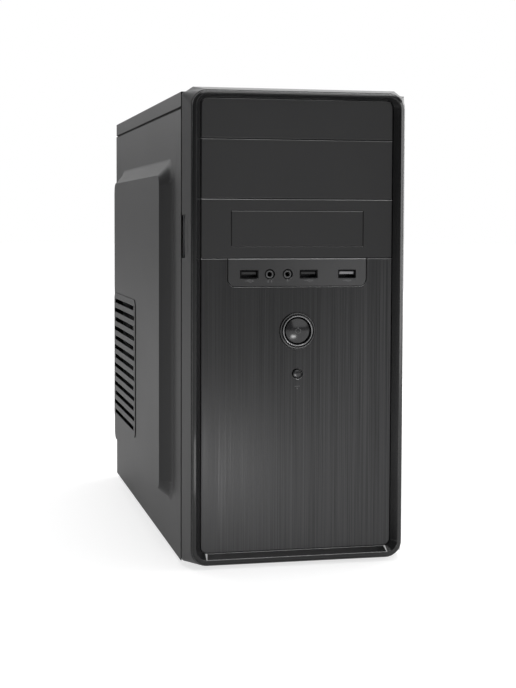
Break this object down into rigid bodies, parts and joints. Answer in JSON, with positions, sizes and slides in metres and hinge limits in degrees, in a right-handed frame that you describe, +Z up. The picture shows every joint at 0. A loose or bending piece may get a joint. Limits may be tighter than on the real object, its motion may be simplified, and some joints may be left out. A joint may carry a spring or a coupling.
{
  "type": "desktop computer tower",
  "caption": "Steel mini tower computer with a framed front bezel, blank drive covers, front ports, buttons, a louvred side panel, and working parts inside.",
  "frame": {"origin": "on the floor under the centre of the whole tower, feet and rear thumbscrews included", "axes": "+Z up; the front faces -Y; +X is to the right for someone who looks at the front; the removable louvred panel faces -X"},
  "size_m": [0.1887, 0.399, 0.3521],
  "materials": {
    "case_steel": "satin dark grey paint on folded steel",
    "raw_steel": "bare zinc-coated steel sheet",
    "bezel_matte": "matt dark grey moulded plastic",
    "bezel_gloss": "gloss near-black moulded plastic",
    "cover_plastic": "fine satin dark grey plastic",
    "brushed_panel": "dark grey plastic with a vertical hairline grain",
    "port_plastic": "satin grey moulded plastic",
    "button_gloss": "gloss dark button plastic",
    "ring_metal": "dark bright-plated trim",
    "bright_metal": "bright nickel plate",
    "socket_plastic": "pale contact moulding",
    "black_plastic": "black moulded plastic",
    "board_green": "lacquered circuit board",
    "brass": "plain turned brass",
    "rubber": "soft black rubber",
    "aluminium": "extruded aluminium",
    "drive_metal": "cast aluminium with a pressed lid",
    "socket_metal": "stamped steel",
    "cable_sleeve": "black sleeved wires",
    "cable_red": "red data lead",
    "wire_grey": "grey twisted wires",
    "screw_steel": "zinc-plated steel screws",
    "component_mix": "moulded components"
  },
  "bodies": {
    "case": {"board_components": "component_mix", "board_connectors": "socket_plastic", "board_standoffs": "brass", "bottom_pan": "raw_steel", "button_switches": "black_plastic", "cooler_fan_frame": "black_plastic", "cooler_heatsink": "aluminium", "disk_cage": "raw_steel", "disk_lead": "cable_red", "feet": "rubber", "front_boards": "board_green", "front_wall": "raw_steel", "hard_disk": "drive_metal", "mainboard": "board_green", "mainboard_tray": "raw_steel", "mains_sockets": "black_plastic", "memory_modules": "board_green", "memory_slots": "component_mix", "optical_bay_cage": "raw_steel", "port_bracket": "raw_steel", "port_shield": "socket_metal", "power_lead": "cable_sleeve", "processor_and_socket": "socket_metal", "psu_case": "raw_steel", "psu_circuit_board": "component_mix", "psu_cover": "raw_steel", "psu_fan_frame": "black_plastic", "psu_fan_grille": "bright_metal", "rear_fan_frame": "black_plastic", "rear_sockets": "socket_metal", "rear_wall": "raw_steel", "roof_cover": "case_steel", "screws": "screw_steel", "slot_covers": "socket_metal", "socket_mouldings": "socket_plastic", "switch_lead": "wire_grey", "usb_shells": "bright_metal"},
    "left_panel": {"left_side_panel": "case_steel", "left_thumbscrews": "screw_steel"},
    "right_panel": {"right_side_panel": "case_steel", "right_thumbscrews": "screw_steel"},
    "front_bezel": {"bezel_frame": "bezel_matte", "bezel_rim": "bezel_gloss", "lower_front_panel": "brushed_panel", "port_plate": "port_plastic", "power_button_ring": "ring_metal"},
    "top_blank": {"bay_cover_top": "cover_plastic"},
    "middle_blank": {"bay_cover_middle": "cover_plastic"},
    "lower_blank": {"bay_cover_lower": "cover_plastic"},
    "small_blank": {"small_bay_cover": "cover_plastic"},
    "power_key": {"power_button": "button_gloss"},
    "reset_key": {"reset_button": "button_gloss"},
    "power_plunger": {"power_switch_plunger": "black_plastic"},
    "reset_plunger": {"reset_switch_plunger": "black_plastic"},
    "rear_fan": {"rear_fan_rotor": "black_plastic"},
    "supply_fan": {"psu_fan_rotor": "black_plastic"},
    "cooler_fan": {"cooler_fan_rotor": "black_plastic"},
    "mains_key": {"mains_rocker": "black_plastic"},
    "front_latch": {"memory_latch_front": "socket_plastic"},
    "rear_latch": {"memory_latch_rear": "socket_plastic"}
  },
  "joints": [
    {"name": "left_panel_slide", "type": "slide", "parent": "case", "child": "left_panel", "axis": [0, 1, 0], "range_m": [0, 0.385]},
    {"name": "right_panel_slide", "type": "slide", "parent": "case", "child": "right_panel", "axis": [0, 1, 0], "range_m": [0, 0.385]},
    {"name": "bezel_pull", "type": "slide", "parent": "case", "child": "front_bezel", "axis": [0, -1, 0], "range_m": [0, 0.035]},
    {"name": "top_blank_pull", "type": "slide", "parent": "front_bezel", "child": "top_blank", "axis": [0, -1, 0], "range_m": [0, 0.025]},
    {"name": "middle_blank_pull", "type": "slide", "parent": "front_bezel", "child": "middle_blank", "axis": [0, -1, 0], "range_m": [0, 0.025]},
    {"name": "lower_blank_pull", "type": "slide", "parent": "front_bezel", "child": "lower_blank", "axis": [0, -1, 0], "range_m": [0, 0.025]},
    {"name": "small_blank_pull", "type": "slide", "parent": "lower_blank", "child": "small_blank", "axis": [0, -1, 0], "range_m": [0, 0.025]},
    {"name": "power_press", "type": "slide", "parent": "front_bezel", "child": "power_key", "axis": [0, 1, 0], "range_m": [0, 0.002], "stiffness_N_per_m": 600, "springref_m": -0.0005},
    {"name": "reset_press", "type": "slide", "parent": "front_bezel", "child": "reset_key", "axis": [0, 1, 0], "range_m": [0, 0.0015], "stiffness_N_per_m": 600, "springref_m": -0.0005},
    {"name": "power_plunger_press", "type": "slide", "parent": "case", "child": "power_plunger", "axis": [0, 1, 0], "range_m": [0, 0.002]},
    {"name": "reset_plunger_press", "type": "slide", "parent": "case", "child": "reset_plunger", "axis": [0, 1, 0], "range_m": [0, 0.0015]},
    {"name": "rear_fan_spin", "type": "hinge", "parent": "case", "child": "rear_fan", "pos_m": [-0.0332, 0.1773, 0.2112], "axis": [0, 1, 0], "continuous": true},
    {"name": "supply_fan_spin", "type": "hinge", "parent": "case", "child": "supply_fan", "pos_m": [0, 0.1128, 0.2745], "axis": [0, 0, 1], "continuous": true},
    {"name": "cooler_fan_spin", "type": "hinge", "parent": "case", "child": "cooler_fan", "pos_m": [0.0074, 0.0778, 0.1892], "axis": [1, 0, 0], "continuous": true},
    {"name": "mains_rocker_tip", "type": "hinge", "parent": "case", "child": "mains_key", "pos_m": [0.022, 0.1895, 0.2832], "axis": [1, 0, 0], "range_deg": [-16, 0]},
    {"name": "front_latch_tip", "type": "hinge", "parent": "case", "child": "front_latch", "pos_m": [0.0549, 0.0108, 0.2464], "axis": [0, 1, 0], "range_deg": [0, 30]},
    {"name": "rear_latch_tip", "type": "hinge", "parent": "case", "child": "rear_latch", "pos_m": [0.0549, 0.0203, 0.2464], "axis": [0, 1, 0], "range_deg": [0, 30]}
  ],
  "couplings": [
    {"joint": "power_plunger_press", "follows": "power_press", "ratio": 1},
    {"joint": "reset_plunger_press", "follows": "reset_press", "ratio": 1}
  ]
}
